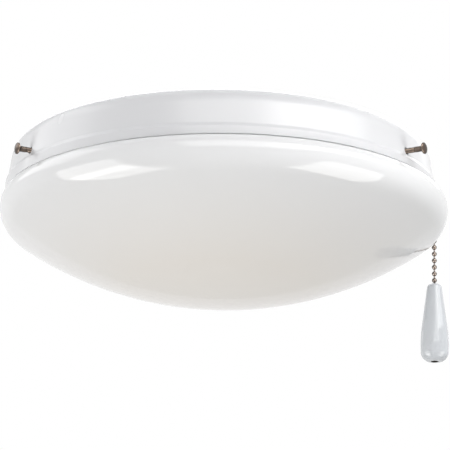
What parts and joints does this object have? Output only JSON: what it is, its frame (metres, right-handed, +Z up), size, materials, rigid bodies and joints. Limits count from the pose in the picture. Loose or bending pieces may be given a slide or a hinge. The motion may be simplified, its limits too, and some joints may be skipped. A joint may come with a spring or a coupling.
{
  "type": "ceiling fan light kit",
  "caption": "Low round light kit for a ceiling fan: steel fitter pan, opal glass bowl held by thumbscrews, screw-base lampholders and a ball-chain pull switch.",
  "frame": {"origin": "centre of the pan's flat top face, which seats under the fan's switch housing", "axes": "+Z up along the nipple towards the fan; the lamps lie along X; the pull chain hangs at 30 degrees from +X towards +Y"},
  "size_m": [0.2812, 0.2836, 0.1289],
  "materials": {
    "white_enamel": "gloss white baked enamel",
    "opal_glass": "glossy opal white glass",
    "brushed_nickel": "satin nickel plate",
    "chain_nickel": "dark nickel-plated brass beads",
    "zinc_plate": "bright zinc-plated steel",
    "brass": "plain stamped brass",
    "glazed_porcelain": "white glazed porcelain",
    "pull_glaze": "gloss white glazed ceramic",
    "black_phenolic": "moulded black phenolic",
    "frosted_glass": "frosted white lamp glass",
    "bulb_aluminium": "thin stamped aluminium",
    "solder": "dull solder tip",
    "vitrite": "black insulating glass"
  },
  "bodies": {
    "fitter": {"fitter_pan": "white_enamel", "screw_nuts": "zinc_plate", "nipple": "zinc_plate", "nipple_nut_upper": "zinc_plate", "nipple_nut_lower": "zinc_plate", "lock_washer": "zinc_plate", "lampholder_bridge": "zinc_plate", "lampholder_1": "glazed_porcelain", "lampholder_2": "glazed_porcelain", "screw_shell_1": "brass", "screw_shell_2": "brass", "center_contact_1": "brass", "center_contact_2": "brass", "lampholder_screws": "zinc_plate", "switch_case": "black_phenolic", "switch_cover": "black_phenolic", "switch_barrel": "brass", "barrel_nut": "zinc_plate", "chain_outlet": "brushed_nickel"},
    "bowl": {"glass_bowl": "opal_glass"},
    "screw_back": {"thumbscrew_back": "brushed_nickel"},
    "screw_right": {"thumbscrew_right": "brushed_nickel"},
    "screw_left": {"thumbscrew_left": "brushed_nickel"},
    "bulb_end_1": {"bulb_contact_1": "solder"},
    "bulb_1": {"bulb_cap_1": "bulb_aluminium", "bulb_insulator_1": "vitrite", "bulb_envelope_1": "frosted_glass"},
    "bulb_end_2": {"bulb_contact_2": "solder"},
    "bulb_2": {"bulb_cap_2": "bulb_aluminium", "bulb_insulator_2": "vitrite", "bulb_envelope_2": "frosted_glass"},
    "inner_chain": {"chain_inner": "chain_nickel"},
    "corner_bead": {"chain_corner": "chain_nickel"},
    "upper_chain": {"chain_upper": "chain_nickel"},
    "middle_chain": {"chain_middle": "chain_nickel"},
    "lower_chain": {"chain_lower": "chain_nickel", "chain_stop": "brass"},
    "pull": {"pull": "pull_glaze"}
  },
  "joints": [
    {"name": "bowl_drop", "type": "slide", "parent": "fitter", "child": "bowl", "axis": [0, 0, -1], "range_m": [0, 0.1]},
    {"name": "screw_back_travel", "type": "slide", "parent": "fitter", "child": "screw_back", "axis": [0, 1, 0], "range_m": [-0.002, 0.006]},
    {"name": "screw_right_travel", "type": "slide", "parent": "fitter", "child": "screw_right", "axis": [0.866, -0.5, 0], "range_m": [-0.002, 0.006]},
    {"name": "screw_left_travel", "type": "slide", "parent": "fitter", "child": "screw_left", "axis": [-0.866, -0.5, 0], "range_m": [-0.002, 0.006]},
    {"name": "bulb_feed_1", "type": "slide", "parent": "fitter", "child": "bulb_end_1", "axis": [1, 0, 0], "range_m": [0, 0.01472]},
    {"name": "bulb_turn_1", "type": "hinge", "parent": "bulb_end_1", "child": "bulb_1", "pos_m": [0, 0.038, -0.0355], "axis": [1, 0, 0], "range_deg": [0, 1440]},
    {"name": "bulb_feed_2", "type": "slide", "parent": "fitter", "child": "bulb_end_2", "axis": [-1, 0, 0], "range_m": [0, 0.01472]},
    {"name": "bulb_turn_2", "type": "hinge", "parent": "bulb_end_2", "child": "bulb_2", "pos_m": [0, -0.038, -0.0355], "axis": [-1, 0, 0], "range_deg": [0, 1440]},
    {"name": "chain_pull", "type": "slide", "parent": "fitter", "child": "upper_chain", "axis": [0, 0, -1], "range_m": [0, 0.00437], "stiffness_N_per_m": 1500, "springref_m": -0.001},
    {"name": "inner_slide", "type": "slide", "parent": "fitter", "child": "inner_chain", "axis": [0.866, 0.5, 0], "range_m": [0, 0.00447]},
    {"name": "corner_turn", "type": "hinge", "parent": "fitter", "child": "corner_bead", "pos_m": [0.13226, 0.07636, -0.01628], "axis": [-0.5, 0.866, 0], "range_deg": [0, 91]},
    {"name": "chain_swing", "type": "hinge", "parent": "upper_chain", "child": "middle_chain", "pos_m": [0.13467, 0.07775, -0.02065], "axis": [0.5, -0.866, 0], "range_deg": [-12, 35]},
    {"name": "chain_sway", "type": "hinge", "parent": "middle_chain", "child": "lower_chain", "pos_m": [0.13467, 0.07775, -0.02939], "axis": [0.866, 0.5, 0], "range_deg": [-30, 30]},
    {"name": "pull_spin", "type": "hinge", "parent": "lower_chain", "child": "pull", "pos_m": [0.13467, 0.07775, -0.06696], "axis": [0, 0, 1], "continuous": true}
  ],
  "couplings": [
    {"joint": "inner_slide", "follows": "chain_pull", "ratio": 1},
    {"joint": "corner_turn", "follows": "chain_pull", "rad_per_m": 359.45},
    {"joint": "bulb_feed_1", "follows": "bulb_turn_1", "m_per_rad": 0.00057773},
    {"joint": "bulb_feed_2", "follows": "bulb_turn_2", "m_per_rad": 0.00057773}
  ]
}
